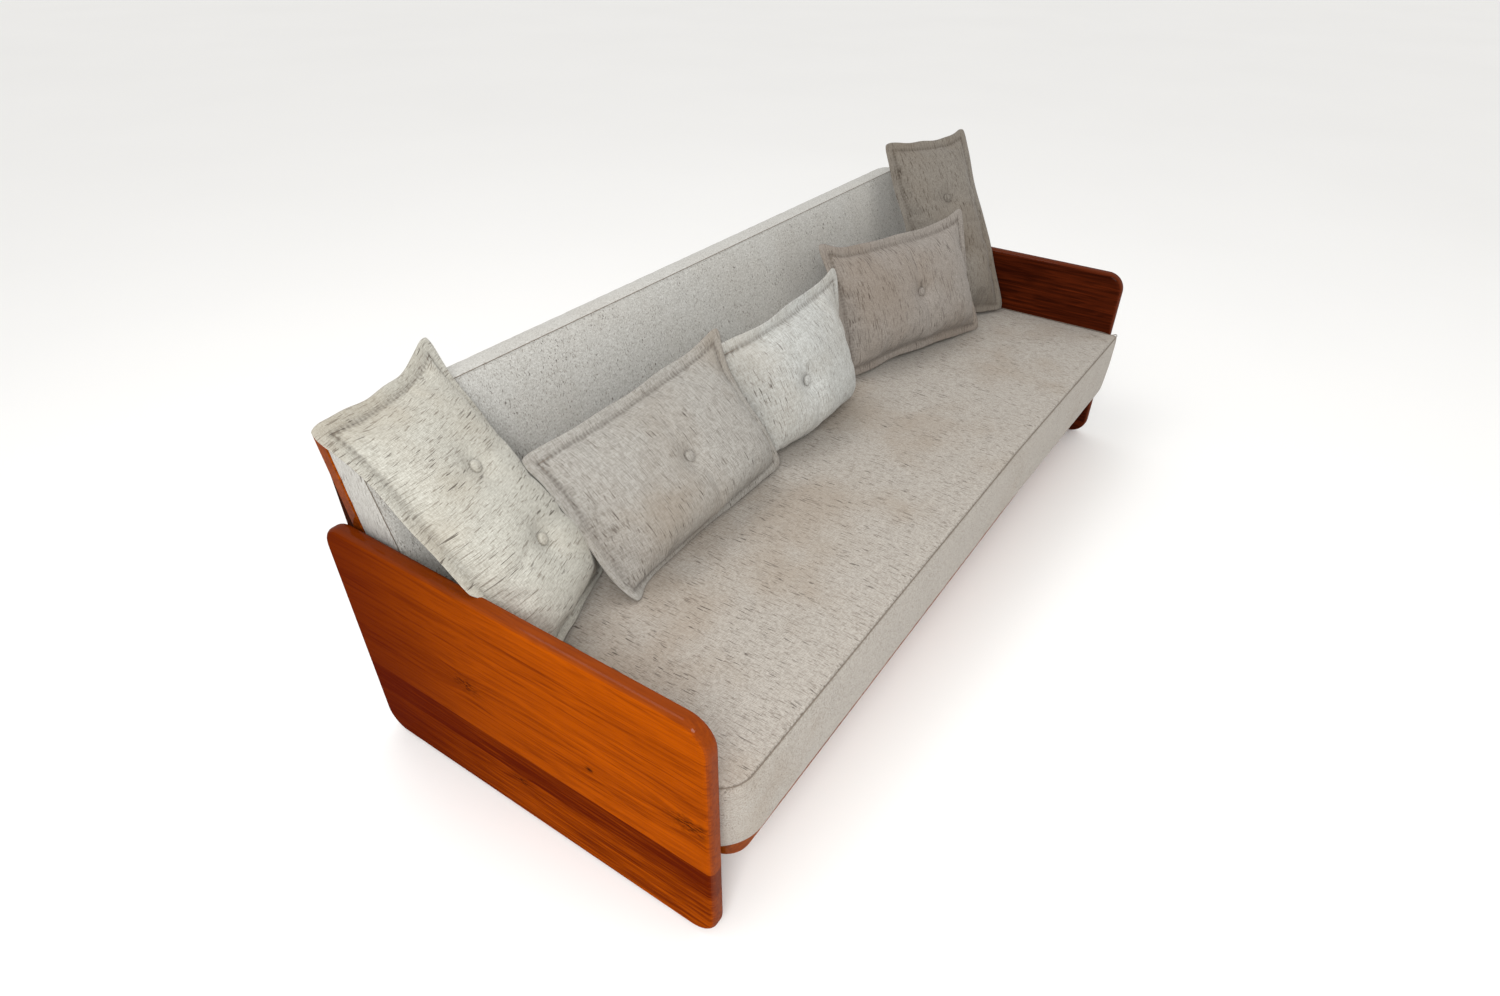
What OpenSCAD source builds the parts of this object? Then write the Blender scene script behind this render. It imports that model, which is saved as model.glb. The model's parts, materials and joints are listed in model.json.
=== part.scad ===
// Daybed: two solid timber end panels, a sliding upholstered seat, a folding
// upholstered backrest and five loose buttoned cushions.
// Axes: X along the length, -Y is the front, Z is up. Origin: middle of the
// whole object on the floor.

/* [Overall] */
// Length over the outer faces of both end panels
overall_l = 2100; // [2060:10:2140]
// Depth of an end panel from its front edge to its rear edge
panel_d = 860; // [856:1:864]
// Height of an end panel's top edge above the floor
panel_h = 540; // [530:5:560]

/* [End panels] */
// Thickness of an end panel
panel_t = 32; // [28:1:34]
// Radius of an end panel's corners
panel_r = 52; // [40:2:70]
// Rounding of an end panel's edges
panel_edge = 11; // [4:1:13]
// Height of the nailed floor glides
glide_h = 4; // [3:1:6]

/* [Seat] */
// Height of the seat cushion's top seam
seat_z = 365; // [360:1:368]
// How far the seat stands in front of the end panels
seat_proud = 13; // [8:1:16]
// Depth of the seat cushion
seat_d = 661; // [650:1:662]
// Thickness of the seat cushion at its seam
seat_t = 180; // [178:1:184]
// Rise of the seat cushion's middle above its seam
seat_crown = 9; // [4:1:10]
// Radius of the seat cushion's front corners
seat_r = 58; // [30:2:70]
// Thickness of the plywood seat board
board_t = 26; // [22:1:26]
// How far the seat slides out
seat_travel = 280; // [200:10:280]

/* [Backrest] */
// Height of the backrest's top front seam above the floor
back_top_z = 735; // [720:5:740]
// Lean of the backrest's front face from upright, in degrees
back_lean = 17; // [15:0.5:18]
// Lean of the timber back board from upright, in degrees
board_lean = 10.5; // [10:0.5:10.5]
// Thickness of the timber back board
back_board_t = 24; // [20:1:24]

/* [Loose cushions] */
// Thickness of the throw pillows over their fillings
pillow_t = 138; // [110:2:140]
// Height of the throw pillows inside their borders
pillow_h = 276; // [260:2:280]
// Thickness of the end cushions over their fillings
end_cushion_t = 112; // [100:2:120]
// Width of the end cushions inside their borders
end_cushion_w = 226; // [210:2:230]
// Height of the end cushions inside their borders
end_cushion_h = 496; // [470:2:500]

/* [Hidden] */
$fn = 48;

teak = "sienna";
beech = "burlywood";
cloth = "lightgray";
foam = "ivory";
steel = "slategray";
nylon = "whitesmoke";

// Whole-object frame
half_l = overall_l / 2;
inner_x = half_l - panel_t;           // inner face of each end panel
rear_y = (panel_d + seat_proud) / 2;  // rear edge of the end panels
front_y = -rear_y;                    // front of the seat cushion
panel_mid_y = rear_y - panel_d / 2;
fabric_t = 2;

// Rails between the end panels
stretcher_t = 22;
front_stretcher_y = front_y + 94.5;
rear_stretcher_y = rear_y - 44.5;
front_stretcher_z = [35, 97];
rear_stretcher_z = [40, 155];

// Runners that the seat's bearers slide on
runner_w = 50;
runner_z = [98, 121.7];
strip_t = 2;
runner_y = [front_stretcher_y + stretcher_t + 2, rear_stretcher_y - 2];

// Sliding seat frame
board_z = seat_z - seat_t - board_t;
bearer_x = inner_x - 52;   // inner face of each bearer
bearer_w = 30;
bearer_z = runner_z[1] + strip_t + 0.3;
bearer_y = [front_y + 78, rear_stretcher_y - 7];
seat_rear_y = front_y + seat_d;
seat_half_x = inner_x - 6;
board_half_x = inner_x - 28;

// Backrest, drawn in the Y-Z plane
crease_y = seat_rear_y + 4.5;
crease_z = seat_z + 3;
back_half_x = inner_x - 12;
foot_z = crease_z - 33;          // lower rear edge of the upholstery
board_foot_y = crease_y + 114.8; // front face of the back board at foot_z
pivot = [crease_y + 21, crease_z - 33];
pin_r = 4;
pin_play = 0.06;
plate_t = 5;
plate_x = bearer_x - plate_t;    // inner face of the seat's hinge plate
arm_x = bearer_x + 1;            // inner face of the backrest's arm
cheek_x = arm_x + plate_t;
cheek_w = 28;

function arc(cx, cy, r, a0, a1, n) =
    [for (i = [0 : n]) let (a = a0 + (a1 - a0) * i / n) [cx + r * cos(a), cy + r * sin(a)]];
function face_y(z) = crease_y + (z - crease_z) * tan(back_lean);
function board_y(z) = board_foot_y + (z - foot_z) * tan(board_lean);
function board_rear_y(z) = board_y(z) + back_board_t / cos(board_lean);

// ---- shared shapes ----

// A block between two opposite corners
module block(x, y, z) {
    translate([x[0], y[0], z[0]]) cube([x[1] - x[0], y[1] - y[0], z[1] - z[0]]);
}

// The same shape on the left (-1) or the right (1) side
module side(s) {
    if (s > 0) children(); else mirror([1, 0, 0]) children();
}

// A shape drawn in the Y-Z plane, extruded along X from x0 to x1
module across(x0, x1) {
    translate([x0, 0, 0]) rotate([90, 0, 90]) linear_extrude(x1 - x0) children();
}

// A rounded rectangle plate with softened edges, thickness along Z
module soft_plate(w, h, t, r, e) {
    outline = concat([[0, 0]], arc(r - e, e, e, -90, 0, 5),
                     arc(r - e, t - e, e, 0, 90, 5), [[0, t]]);
    translate([r - w / 2, r - h / 2, 0]) cube([w - 2 * r, h - 2 * r, t]);
    for (q = [0 : 3]) {
        across_w = q % 2 == 0 ? w : h;
        across_h = q % 2 == 0 ? h : w;
        rotate([0, 0, 90 * q]) {
            translate([r - across_w / 2, across_h / 2 - r, 0])
                rotate([90, 0, 90]) linear_extrude(across_w - 2 * r) polygon(outline);
            translate([across_w / 2 - r, across_h / 2 - r, 0])
                rotate_extrude(angle = 90, $fn = 96) polygon(outline);
        }
    }
}

// Plan of the seat: square at the rear, rounded at the two front corners
module seat_plan(half_x, y0, y1, r) {
    translate([-half_x, y0 + r]) square([2 * half_x, y1 - y0 - r]);
    translate([r - half_x, y0]) square([2 * (half_x - r), r]);
    for (s = [-1, 1]) translate([s * (half_x - r), y0 + r]) circle(r, $fn = 96);
}

// A pan-head screw along +Z, its head on the plane z = 0
module screw(l, r = 2.5) {
    translate([0, 0, -l]) cylinder(r = r, h = l);
    cylinder(r = 1.8 * r, h = 2.2);
}

// A screw driven towards +X, with its head on the plane x
module screw_to_x(x, y, z, l) {
    translate([x, y, z]) rotate([0, -90, 0]) screw(l);
}

// ---- end frame, stays still ----

module end_panel(s) {
    color(teak) side(s) translate([inner_x, panel_mid_y, (panel_h + glide_h) / 2])
        rotate([90, 0, 90]) soft_plate(panel_d, panel_h - glide_h, panel_t, panel_r, panel_edge);
}

module end_panel_left() { end_panel(-1); }
module end_panel_right() { end_panel(1); }

module front_stretcher() {
    color(teak) block([-inner_x, inner_x],
                      [front_stretcher_y, front_stretcher_y + stretcher_t], front_stretcher_z);
}

module rear_stretcher() {
    color(teak) block([-inner_x, inner_x],
                      [rear_stretcher_y, rear_stretcher_y + stretcher_t], rear_stretcher_z);
}

module runner(s) {
    color(beech) side(s) block([inner_x - runner_w, inner_x], runner_y, runner_z);
}

module runner_left() { runner(-1); }
module runner_right() { runner(1); }

module runner_strips() {
    color(nylon) for (s = [-1, 1]) side(s)
        block([inner_x - runner_w + 4, inner_x - 16], runner_y, [runner_z[1], runner_z[1] + strip_t]);
}

module runner_screws() {
    color(steel) for (s = [-1, 1], i = [0 : 3]) side(s)
        screw_to_x(inner_x - runner_w + 2.4, runner_y[0] + 60 + i * 200, 110, 62);
}

// One angle bracket in each corner between a stretcher and an end panel
bracket_l = 40;
bracket_t = 3;
bracket_z = [44, 90];
module corner_bracket(y, inward) {
    y_far = y + inward * bracket_l;
    y_near = y + inward * bracket_t;
    block([inner_x - bracket_t, inner_x], [min(y, y_far), max(y, y_far)], bracket_z);
    block([inner_x - bracket_l, inner_x], [min(y, y_near), max(y, y_near)], bracket_z);
}

module corner_brackets() {
    color(steel) for (s = [-1, 1]) side(s) {
        corner_bracket(front_stretcher_y + stretcher_t, 1);
        corner_bracket(rear_stretcher_y, -1);
    }
}

module bracket_screws() {
    y_front = front_stretcher_y + stretcher_t;
    color(steel) for (s = [-1, 1], z = [56, 78]) side(s) {
        screw_to_x(inner_x - bracket_t, y_front + 26, z, 20);
        screw_to_x(inner_x - bracket_t, rear_stretcher_y - 26, z, 20);
        translate([inner_x - 28, y_front + bracket_t, z]) rotate([-90, 0, 0]) screw(18);
        translate([inner_x - 28, rear_stretcher_y - bracket_t, z]) rotate([90, 0, 0]) screw(18);
    }
}

module stretcher_dowels() {
    color(beech) for (s = [-1, 1]) side(s) {
        for (z = [50, 82]) translate([inner_x - 25, front_stretcher_y + stretcher_t / 2, z])
            rotate([0, 90, 0]) cylinder(r = 5, h = 45);
        for (z = [60, 130]) translate([inner_x - 25, rear_stretcher_y + stretcher_t / 2, z])
            rotate([0, 90, 0]) cylinder(r = 5, h = 45);
    }
}

module floor_glides() {
    color(nylon) for (s = [-1, 1], y = [panel_mid_y - 330, panel_mid_y + 330]) side(s)
        translate([half_l - panel_t / 2, y, 0]) cylinder(r = 9, h = glide_h);
}

// ---- sliding seat ----

module seat_board() {
    color(teak) translate([0, 0, board_z]) linear_extrude(board_t)
        seat_plan(board_half_x, front_y + 14, seat_rear_y - 3, seat_r - 12);
}

module seat_bearer(s) {
    color(beech) side(s) block([bearer_x, bearer_x + bearer_w], bearer_y, [bearer_z, board_z]);
}

module seat_bearer_left() { seat_bearer(-1); }
module seat_bearer_right() { seat_bearer(1); }

// A rail between the two bearers
module cross_rail(y, w, z0) {
    block([-bearer_x, bearer_x], [y, y + w], [z0, board_z]);
}

module seat_front_rail() { color(beech) cross_rail(bearer_y[0], 18, 108); }
module seat_rear_rail() { color(beech) cross_rail(seat_rear_y - 32, 26, 118); }
module seat_tail_rail() { color(beech) cross_rail(bearer_y[1] - 26, 26, bearer_z); }

module seat_cross_bearers() {
    color(beech) for (x = [-480, 0, 480])
        block([x - 20, x + 20], [bearer_y[0] + 18, seat_rear_y - 32], [bearer_z, board_z]);
}

// Blocks that meet the front stretcher when the seat is fully out
module seat_stops() {
    y = front_stretcher_y + stretcher_t + seat_travel + 1;
    color(beech) for (s = [-1, 1]) side(s)
        block([bearer_x - 26, bearer_x], [y, y + 40], [62, board_z]);
}

module seat_board_screws() {
    color(steel) for (s = [-1, 1], i = [0 : 2]) side(s)
        translate([bearer_x + bearer_w / 2, front_y + 120 + i * 220, bearer_z])
            cylinder(r = 2.5, h = board_z - bearer_z + 14);
}

// The seat cushion's solid, inset all round by i and open below by cut
module mattress_solid(i, cut) {
    rise = seat_crown;
    span = seat_d;
    big_r = (span * span / 4 + rise * rise) / (2 * rise);
    half_a = asin(span / 2 / big_r);
    bottom_z = seat_z - seat_t - cut;
    top = arc((front_y + seat_rear_y) / 2, seat_z + rise - big_r - i, big_r,
              90 - half_a, 90 + half_a, 14);
    intersection() {
        translate([0, 0, bottom_z]) linear_extrude(seat_t + rise + cut + 10)
            seat_plan(seat_half_x - i, front_y + i, seat_rear_y - i, seat_r - i);
        across(-seat_half_x - 5, seat_half_x + 5)
            polygon(concat([[seat_rear_y, bottom_z]], top, [[front_y, bottom_z]]));
    }
}

module mattress_foam() { color(foam) mattress_solid(fabric_t, 0); }

module mattress_cover() {
    color(cloth) difference() {
        mattress_solid(0, 0);
        mattress_solid(fabric_t, 5);
    }
}

// Upright steel plate on each bearer that carries the backrest's pivot
module hinge_plate(s) {
    top = pivot[1];
    color(steel) side(s) translate([plate_x, 0, 0]) rotate([90, 0, 90])
        linear_extrude(plate_t) difference() {
            union() {
                translate(pivot) circle(16);
                translate([pivot[0] - 16, board_z - 30]) square([32, top - board_z + 30]);
                translate([pivot[0] - 16, board_z - 30]) square([92, 28]);
            }
            translate(pivot) circle(pin_r);
        }
}

module hinge_plate_left() { hinge_plate(-1); }
module hinge_plate_right() { hinge_plate(1); }

module hinge_plate_screws() {
    color(steel) for (s = [-1, 1], y = [14, 62]) side(s)
        screw_to_x(plate_x, pivot[0] + y, board_z - 16, 22);
}

module pivot_pins() {
    color(steel) for (s = [-1, 1]) side(s) translate([plate_x, pivot[0], pivot[1]])
        rotate([0, 90, 0]) {
            translate([0, 0, -3]) cylinder(r = 7.5, h = 3);
            cylinder(r = pin_r, h = 14);
            translate([0, 0, 2 * plate_t + 1.4]) cylinder(r = 7, h = 1.6);
        }
}

// ---- folding backrest ----

module back_board() {
    top_z = back_top_z - 29;
    dy = back_board_t / cos(board_lean);
    e = 7;
    color(teak) across(-back_half_x - 1, back_half_x + 1)
        polygon(concat(
            [[board_y(foot_z - 3), foot_z - 3], [board_y(foot_z - 3) + dy, foot_z - 3]],
            arc(board_y(top_z - e) + dy - e, top_z - e, e, 0, 90, 5),
            arc(board_y(top_z - e) + e, top_z - e, e, 90, 180, 5)));
}

foam_gap = 0.1;  // between the back foam and the board
// Section of the back upholstery, inset by i; its rear stands over beyond the face of the board
module back_section(i, over) {
    top_rear_z = back_top_z - 16;
    polygon(concat(
        [[face_y(crease_z + i) + i / cos(back_lean), crease_z + i * 0.7]],
        arc(face_y(back_top_z - 9) + 11, back_top_z - 11, 11 - i, 165, 80, 5),
        [[board_y(top_rear_z) - 8 + over, top_rear_z + 1.5 - i],
         [board_y(top_rear_z - 9 - i) + over, top_rear_z - 9 - i],
         [board_y(foot_z + 4 + i) + over, foot_z + 4 + i]]));
}

module back_foam() {
    color(foam) across(-back_half_x + fabric_t, back_half_x - fabric_t) back_section(fabric_t, -foam_gap);
}

module back_cover() {
    color(cloth) difference() {
        across(-back_half_x, back_half_x) back_section(0, 0);
        across(-back_half_x + fabric_t, back_half_x - fabric_t) back_section(fabric_t, -foam_gap);
        across(-back_half_x + fabric_t, back_half_x - fabric_t) back_section(fabric_t, 3);
    }
}

// Tapered cheek behind each end of the back board
module back_cheek(s) {
    rear = rear_y - 0.5;
    low_z = foot_z + 10;
    apex_z = foot_z + 328;
    color(teak) side(s) across(cheek_x, cheek_x + cheek_w)
        polygon([[board_rear_y(low_z), low_z], [board_rear_y(low_z) + 24, low_z],
                 [rear, low_z + 88], [rear, apex_z], [board_rear_y(apex_z), apex_z]]);
}

module back_cheek_left() { back_cheek(-1); }
module back_cheek_right() { back_cheek(1); }

// Cranked steel arm from the pivot to the inner face of each cheek
module back_arm(s) {
    heel_y = board_rear_y(foot_z) + 4;
    low_z = pivot[1] - 30;
    color(steel) side(s) translate([arm_x, 0, 0]) rotate([90, 0, 90])
        linear_extrude(plate_t) difference() {
            union() {
                translate(pivot) circle(15);
                polygon([pivot + [0, -15], pivot + [18, -30], [heel_y + 18, low_z],
                         [heel_y + 18, low_z + 20], pivot + [30, -10], pivot + [14, 5]]);
                polygon([[heel_y, low_z], [heel_y + 18, low_z],
                         [board_rear_y(foot_z + 150) + 20, foot_z + 150],
                         [board_rear_y(foot_z + 150) + 1, foot_z + 150]]);
            }
            translate(pivot) circle(pin_r + pin_play);
        }
}

module back_arm_left() { back_arm(-1); }
module back_arm_right() { back_arm(1); }

module back_arm_screws() {
    color(steel) for (s = [-1, 1], z = [foot_z + 60, foot_z + 95, foot_z + 130]) side(s)
        screw_to_x(arm_x, board_rear_y(z) + 10, z, 22);
}

module cheek_screws() {
    color(steel) for (s = [-1, 1], z = [foot_z + 112, foot_z + 250]) side(s)
        translate([cheek_x + cheek_w / 2, rear_y - 4, z])
            rotate([90, 0, 0]) cylinder(r = 2.5, h = rear_y - 12 - board_y(z));
}

// ---- loose cushions ----

// Each cushion: [width, height, thickness, centre, [lean, roll, yaw], button heights]
tucked = 48;  // width of a pillow's margin that lies behind or before its neighbour
pillow_w = 508;
left_pillow = [pillow_w - tucked, pillow_h, pillow_t, [-518, 82, seat_z + 150], [-36, -2, -1], [0]];
middle_pillow = [pillow_w - tucked, pillow_h, pillow_t, [-57, 64, seat_z + 171], [-14, 0, 3], [0]];
right_pillow = [pillow_w - 24, pillow_h + 6, pillow_t, [522, 66, seat_z + 170], [-24, 1, -15], [0]];
left_end_cushion = [end_cushion_w, end_cushion_h - 14, end_cushion_t,
                    [-894, 150, seat_z + 228], [-34, 4, 24], [-78, 78]];
right_end_cushion = [end_cushion_w - 8, end_cushion_h - 10, end_cushion_t,
                     [896, 118, seat_z + 246], [-33, -3, -32], [-78, 78]];

grid_u = 12;
grid_v = 8;
function spread(i, n) = sin(90 * (2 * i / n - 1));
function swell(u, v) = sqrt((1 - pow(abs(u), 2.6)) * (1 - pow(abs(v), 2.6)));
// A grid of points over a pillow outline, swelling by a from the seam plane
function pillow_grid(w, h, rim, a, way) = [
    for (j = [0 : grid_v], i = [0 : grid_u])
        let (u = spread(i, grid_u), v = spread(j, grid_v))
        [w / 2 * u * (1 - 0.035 * (1 - v * v)),
         way * (rim + a * swell(u, v)),
         h / 2 * v * (1 - 0.045 * (1 - u * u))]];
function cell(i, j) = j * (grid_u + 1) + i;
rim_loop = concat(
    [for (i = [0 : grid_u - 1]) cell(i, 0)], [for (j = [0 : grid_v - 1]) cell(grid_u, j)],
    [for (i = [grid_u : -1 : 1]) cell(i, grid_v)], [for (j = [grid_v : -1 : 1]) cell(0, j)]);
grid_n = (grid_u + 1) * (grid_v + 1);

// A closed solid between an outer grid, nearer -Y, and an inner grid
module grid_solid(outer, inner) {
    n = len(rim_loop);
    polyhedron(concat(outer, inner), concat(
        [for (j = [0 : grid_v - 1], i = [0 : grid_u - 1], k = [0, 1]) k == 0
            ? [cell(i, j), cell(i + 1, j + 1), cell(i + 1, j)]
            : [cell(i, j), cell(i, j + 1), cell(i + 1, j + 1)]],
        [for (j = [0 : grid_v - 1], i = [0 : grid_u - 1], k = [0, 1]) k == 0
            ? [grid_n + cell(i, j), grid_n + cell(i + 1, j), grid_n + cell(i + 1, j + 1)]
            : [grid_n + cell(i, j), grid_n + cell(i + 1, j + 1), grid_n + cell(i, j + 1)]],
        [for (i = [0 : n - 1], k = [0, 1]) let (a = rim_loop[i], b = rim_loop[(i + 1) % n]) k == 0
            ? [a, b, grid_n + b] : [a, grid_n + b, grid_n + a]]));
}

module place(c) {
    translate(c[3]) rotate([0, 0, c[4][2]]) rotate([c[4][0], 0, 0]) rotate([0, c[4][1], 0])
        children();
}

// One face of the cover, from the seam plane outwards
module cushion_front(c) {
    color(cloth) place(c) grid_solid(pillow_grid(c[0], c[1], 0.2, c[2] / 2 - 0.2, -1),
                                     pillow_grid(c[0] - 5, c[1] - 5, 0.2, c[2] / 2 - 2.2, -1));
}

module cushion_back(c) {
    color(cloth) place(c) mirror([0, 1, 0])
        grid_solid(pillow_grid(c[0], c[1], 0.2, c[2] / 2 - 0.2, -1),
                   pillow_grid(c[0] - 5, c[1] - 5, 0.2, c[2] / 2 - 2.2, -1));
}

module cushion_filling(c) {
    color(foam) place(c) grid_solid(pillow_grid(c[0] - 14, c[1] - 14, 0.3, c[2] / 2 - 5, -1),
                                    pillow_grid(c[0] - 14, c[1] - 14, 0.3, c[2] / 2 - 5, 1));
}

// Covered buttons on both faces
module cushion_buttons(c) {
    color(cloth) place(c) for (z = c[5], way = [-1, 1])
        translate([0, way * (c[2] / 2 + 0.3), z]) rotate([-90 * way, 0, 0])
            rotate_extrude() polygon([[0, 0], [11, 0], [11, 2], [9, 4], [5, 5.2], [0, 5.6]]);
}

module left_end_cushion_front() { cushion_front(left_end_cushion); }
module left_end_cushion_back() { cushion_back(left_end_cushion); }
module left_end_cushion_filling() { cushion_filling(left_end_cushion); }
module left_end_cushion_buttons() { cushion_buttons(left_end_cushion); }
module right_end_cushion_front() { cushion_front(right_end_cushion); }
module right_end_cushion_back() { cushion_back(right_end_cushion); }
module right_end_cushion_filling() { cushion_filling(right_end_cushion); }
module right_end_cushion_buttons() { cushion_buttons(right_end_cushion); }
module left_pillow_front() { cushion_front(left_pillow); }
module left_pillow_back() { cushion_back(left_pillow); }
module left_pillow_filling() { cushion_filling(left_pillow); }
module left_pillow_buttons() { cushion_buttons(left_pillow); }
module middle_pillow_front() { cushion_front(middle_pillow); }
module middle_pillow_back() { cushion_back(middle_pillow); }
module middle_pillow_filling() { cushion_filling(middle_pillow); }
module middle_pillow_buttons() { cushion_buttons(middle_pillow); }
module right_pillow_front() { cushion_front(right_pillow); }
module right_pillow_back() { cushion_back(right_pillow); }
module right_pillow_filling() { cushion_filling(right_pillow); }
module right_pillow_buttons() { cushion_buttons(right_pillow); }

end_panel_left();
end_panel_right();
front_stretcher();
rear_stretcher();
runner_left();
runner_right();
runner_strips();
runner_screws();
corner_brackets();
bracket_screws();
stretcher_dowels();
floor_glides();
seat_board();
seat_bearer_left();
seat_bearer_right();
seat_front_rail();
seat_rear_rail();
seat_tail_rail();
seat_cross_bearers();
seat_stops();
seat_board_screws();
mattress_foam();
mattress_cover();
hinge_plate_left();
hinge_plate_right();
hinge_plate_screws();
pivot_pins();
back_board();
back_foam();
back_cover();
back_cheek_left();
back_cheek_right();
back_arm_left();
back_arm_right();
back_arm_screws();
cheek_screws();
left_end_cushion_front();
left_end_cushion_back();
left_end_cushion_filling();
left_end_cushion_buttons();
right_end_cushion_front();
right_end_cushion_back();
right_end_cushion_filling();
right_end_cushion_buttons();
left_pillow_front();
left_pillow_back();
left_pillow_filling();
left_pillow_buttons();
middle_pillow_front();
middle_pillow_back();
middle_pillow_filling();
middle_pillow_buttons();
right_pillow_front();
right_pillow_back();
right_pillow_filling();
right_pillow_buttons();
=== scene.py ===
"""Looks of the daybed: upholstery, timber, small fittings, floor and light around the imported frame."""
import bpy
import json
import math
import numpy as np
from mathutils import Matrix, Vector, noise


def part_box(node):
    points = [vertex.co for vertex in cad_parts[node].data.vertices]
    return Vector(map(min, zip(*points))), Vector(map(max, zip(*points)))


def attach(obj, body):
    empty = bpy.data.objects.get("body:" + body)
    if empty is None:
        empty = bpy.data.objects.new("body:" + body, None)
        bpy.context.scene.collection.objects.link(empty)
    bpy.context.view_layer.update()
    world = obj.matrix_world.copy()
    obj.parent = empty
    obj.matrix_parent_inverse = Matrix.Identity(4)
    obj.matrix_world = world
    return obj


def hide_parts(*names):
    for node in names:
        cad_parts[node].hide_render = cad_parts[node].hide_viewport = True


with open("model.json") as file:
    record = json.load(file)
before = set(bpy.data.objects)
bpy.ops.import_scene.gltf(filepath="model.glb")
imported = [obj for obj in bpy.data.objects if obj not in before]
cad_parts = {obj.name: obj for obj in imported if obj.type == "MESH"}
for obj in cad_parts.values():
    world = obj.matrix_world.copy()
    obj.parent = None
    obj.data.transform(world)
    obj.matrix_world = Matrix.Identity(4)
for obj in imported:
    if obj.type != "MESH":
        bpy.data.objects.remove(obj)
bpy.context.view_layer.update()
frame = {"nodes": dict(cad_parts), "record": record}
scene = bpy.context.scene

FRONT, BACK = -1, 1
X, Y, Z = 0, 1, 2
STEP = 0.009                # spacing of the cushion grids, before they are subdivided
BUTTON_RADIUS = 0.0125
TOPSTITCH_RADIUS = 0.0008
CLOTH_FRAMES = 22           # frames in which the cloth fills out

# Point attributes that the cloth materials read
WEAVE = "cloth_co"          # where a point lies on its own cushion
# Painted shade: the seam attribute darkens the cloth along seams, round buttons and on the buttons' rims.
SEAM_SHADE = "seam"               # 1 on a seam, 0 away from it


# ---- node helpers -------------------------------------------------------------------------------

def srgb(r, g, b):
    """A colour given as it looks on screen, 0 to 255, as a linear RGBA."""
    def lin(c):
        c /= 255
        return c / 12.92 if c <= 0.04045 else ((c + 0.055) / 1.055) ** 2.4
    return lin(r), lin(g), lin(b), 1.0


def new_material(name, roughness, **settings):
    """A Principled material. Returns the material, its node tree and its shader."""
    mat = bpy.data.materials.new(name)
    mat.use_nodes = True
    bsdf = mat.node_tree.nodes["Principled BSDF"]
    bsdf.inputs["Roughness"].default_value = roughness
    for socket, value in settings.items():
        bsdf.inputs[socket.replace("_", " ")].default_value = value
    return mat, mat.node_tree, bsdf


def node(tree, kind, inputs=None, **props):
    """Adds a node. An input is either a plain value or another node's socket."""
    n = tree.nodes.new(kind)
    for key, value in props.items():
        setattr(n, key, value)
    for key, value in (inputs or {}).items():
        if isinstance(value, bpy.types.NodeSocket):
            tree.links.new(value, n.inputs[key])
        else:
            n.inputs[key].default_value = value
    return n


def calc(tree, op, a, b=0.0, clamp=False):
    """One Math node."""
    return node(tree, "ShaderNodeMath", {0: a, 1: b}, operation=op, use_clamp=clamp).outputs[0]


def mix(tree, amount, a, b):
    """Colour a where the amount is 0, colour b where it is 1."""
    return node(tree, "ShaderNodeMix", {0: amount, 6: a, 7: b}, data_type="RGBA").outputs[2]


def ramp(tree, value, low, high):
    """0 below low, 1 above high, smooth between."""
    n = node(tree, "ShaderNodeMapRange", {0: value, 1: low, 2: high}, interpolation_type="SMOOTHSTEP")
    return n.outputs[0]


def scaled(tree, co, scale, offset=(0, 0, 0)):
    """Coordinates times a scale, which counts noise cells per metre, plus an offset."""
    m = node(tree, "ShaderNodeVectorMath", {0: co, 1: scale}, operation="MULTIPLY").outputs[0]
    return node(tree, "ShaderNodeVectorMath", {0: m, 1: offset}, operation="ADD").outputs[0]


def noise_at(tree, co, detail=2.0, rough=0.5, distort=0.0):
    """Noise of 0 to 1, with one cell per unit of the coordinates."""
    n = node(tree, "ShaderNodeTexNoise", {"Vector": co, "Scale": 1.0, "Detail": detail,
                                          "Roughness": rough, "Distortion": distort})
    return n.outputs[0]


def bump(tree, bsdf, height, distance, strength=1.0):
    """Raises the surface by height times distance, in metres."""
    n = node(tree, "ShaderNodeBump", {"Height": height, "Distance": distance, "Strength": strength})
    tree.links.new(n.outputs[0], bsdf.inputs["Normal"])


def stretch(along, across, lengthwise):
    """Scales for long thin marks that run along one axis."""
    s = [across] * 3
    s[along] = lengthwise
    return tuple(s)


# ---- materials ----------------------------------------------------------------------------------

# Noise cells per metre of cloth. A pair is across and along the yarn.
WARP, WEFT = (560, 90), (560, 120)
SMALL_FLECK, LARGE_FLECK = (440, 40), (340, 30)
GRIT, PATCH, CLOUD = 640, 17, 3.6
WEAVE_WAVE = 1850           # radians per metre, for a yarn every 3.4 mm


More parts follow.
